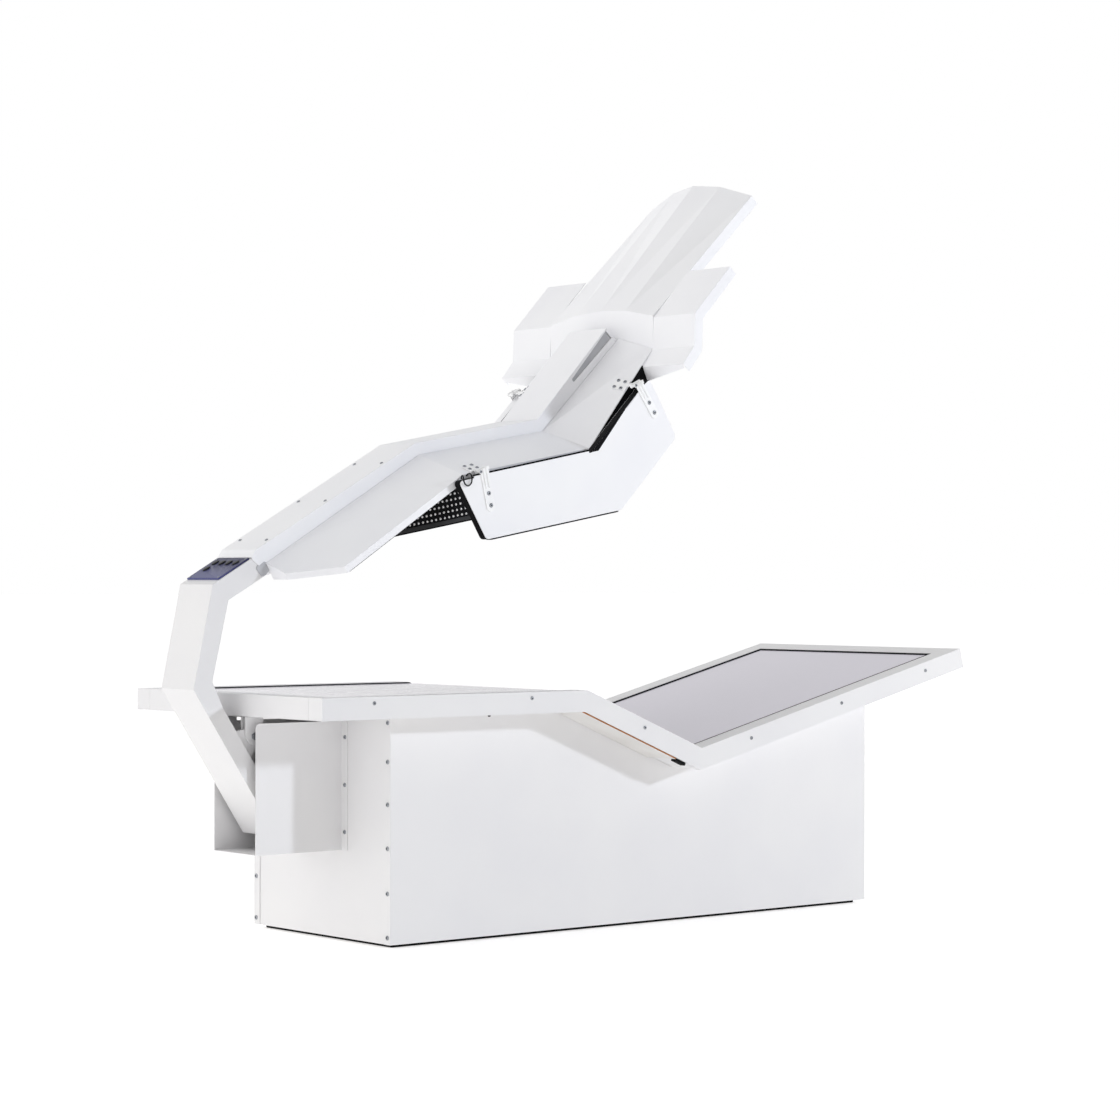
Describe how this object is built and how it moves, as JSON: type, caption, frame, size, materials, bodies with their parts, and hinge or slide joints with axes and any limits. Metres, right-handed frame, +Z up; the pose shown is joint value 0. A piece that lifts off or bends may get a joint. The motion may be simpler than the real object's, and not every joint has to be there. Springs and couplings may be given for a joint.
{
  "type": "red light therapy bed",
  "caption": "Lying bed with a bent light tray on a sheet metal cabinet, and a light canopy with hinged side panels that a motorised arm swings down over it.",
  "frame": {"origin": "centre of the overall box on the floor under the levelling feet, with the canopy open", "axes": "+X along the bed to its head end, +Y across it to the far side, +Z up"},
  "size_m": [2.4402, 0.84, 2.0701],
  "materials": {
    "white_powder_coat": "satin white powder coat on steel sheet",
    "white_aluminium": "satin white powder coat on aluminium sheet",
    "steel": "plain bright steel",
    "supply_case": "plain folded case",
    "frame_extrusion": "mill finish extrusions",
    "black_rubber": "matte black",
    "clear_acrylic": "polished clear acrylic sheet",
    "light_board": "dark board with rows of small light diodes",
    "black_plastic": "moulded black",
    "control_plate": "dark blue printed overlay",
    "button": "black moulded"
  },
  "bodies": {
    "base": {"front_panel": "white_powder_coat", "rear_panel": "white_powder_coat", "foot_end_panel": "white_powder_coat", "head_end_panel": "white_powder_coat", "floor_sheet": "white_powder_coat", "cabinet_frame": "frame_extrusion", "arm_guard": "white_powder_coat", "levelling_foot_1": "black_rubber", "levelling_foot_2": "black_rubber", "levelling_foot_3": "black_rubber", "levelling_foot_4": "black_rubber", "tray_rim_near": "white_powder_coat", "tray_rim_far": "white_powder_coat", "tray_rim_foot": "white_powder_coat", "tray_rim_head": "white_powder_coat", "tray_edging": "black_rubber", "tray_pan": "white_powder_coat", "bed_light_board": "light_board", "bed_acrylic_foot": "clear_acrylic", "bed_acrylic_thigh": "clear_acrylic", "bed_acrylic_back": "clear_acrylic", "pivot_clevis": "white_powder_coat", "pivot_bolt_near": "steel", "pivot_bolt_far": "steel", "actuator_tube": "steel", "actuator_motor": "black_plastic", "actuator_cradle": "white_powder_coat", "power_supply": "supply_case", "control_box": "black_plastic", "mains_inlet": "black_plastic"},
    "canopy": {"lift_arm": "white_powder_coat", "spine_cover": "white_aluminium", "canopy_shell_near": "white_aluminium", "canopy_shell_far": "white_aluminium", "head_hood": "white_aluminium", "shoulder_wing_near": "white_aluminium", "shoulder_wing_far": "white_aluminium", "canopy_light_board": "light_board", "canopy_lens": "clear_acrylic", "control_plate": "control_plate", "near_hinge_leaf_1": "white_powder_coat", "near_hinge_leaf_2": "white_powder_coat", "far_hinge_leaf_1": "white_powder_coat", "far_hinge_leaf_2": "white_powder_coat"},
    "drive_rod": {"actuator_rod": "steel", "drive_pin": "steel"},
    "near_side_panel": {"near_panel_module": "light_board", "near_panel_skin": "white_aluminium", "near_hinge_strap_1": "white_powder_coat", "near_hinge_strap_2": "white_powder_coat"},
    "far_side_panel": {"far_panel_module": "light_board", "far_panel_skin": "white_aluminium", "far_hinge_strap_1": "white_powder_coat", "far_hinge_strap_2": "white_powder_coat"},
    "button_1": {"button_1": "button"},
    "button_2": {"button_2": "button"},
    "button_3": {"button_3": "button"},
    "button_4": {"button_4": "button"},
    "power_button": {"power_button": "button"}
  },
  "joints": [
    {"name": "canopy_lift", "type": "hinge", "parent": "base", "child": "canopy", "pos_m": [-1.03505, 0, 0.536], "axis": [0, 1, 0], "range_deg": [0, 29]},
    {"name": "rod_slide", "type": "slide", "parent": "base", "child": "drive_rod", "axis": [-1, 0, 0], "range_m": [0, 0.0983]},
    {"name": "near_panel_hinge", "type": "hinge", "parent": "canopy", "child": "near_side_panel", "pos_m": [-0.45605, -0.2585, 1.2185], "axis": [-0.9082, 0, -0.4186], "range_deg": [0, 70]},
    {"name": "far_panel_hinge", "type": "hinge", "parent": "canopy", "child": "far_side_panel", "pos_m": [-0.45605, 0.2585, 1.2185], "axis": [0.9082, 0, 0.4186], "range_deg": [0, 70]},
    {"name": "button_1_press", "type": "slide", "parent": "canopy", "child": "button_1", "axis": [0.4917, 0, -0.8708], "range_m": [0, 0.0012], "stiffness_N_per_m": 900},
    {"name": "button_2_press", "type": "slide", "parent": "canopy", "child": "button_2", "axis": [0.4917, 0, -0.8708], "range_m": [0, 0.0012], "stiffness_N_per_m": 900},
    {"name": "button_3_press", "type": "slide", "parent": "canopy", "child": "button_3", "axis": [0.4917, 0, -0.8708], "range_m": [0, 0.0012], "stiffness_N_per_m": 900},
    {"name": "button_4_press", "type": "slide", "parent": "canopy", "child": "button_4", "axis": [0.4917, 0, -0.8708], "range_m": [0, 0.0012], "stiffness_N_per_m": 900},
    {"name": "power_button_press", "type": "slide", "parent": "canopy", "child": "power_button", "axis": [0.4917, 0, -0.8708], "range_m": [0, 0.0012], "stiffness_N_per_m": 900}
  ],
  "couplings": [
    {"joint": "rod_slide", "follows": "canopy_lift", "m_per_rad": 0.19416}
  ]
}
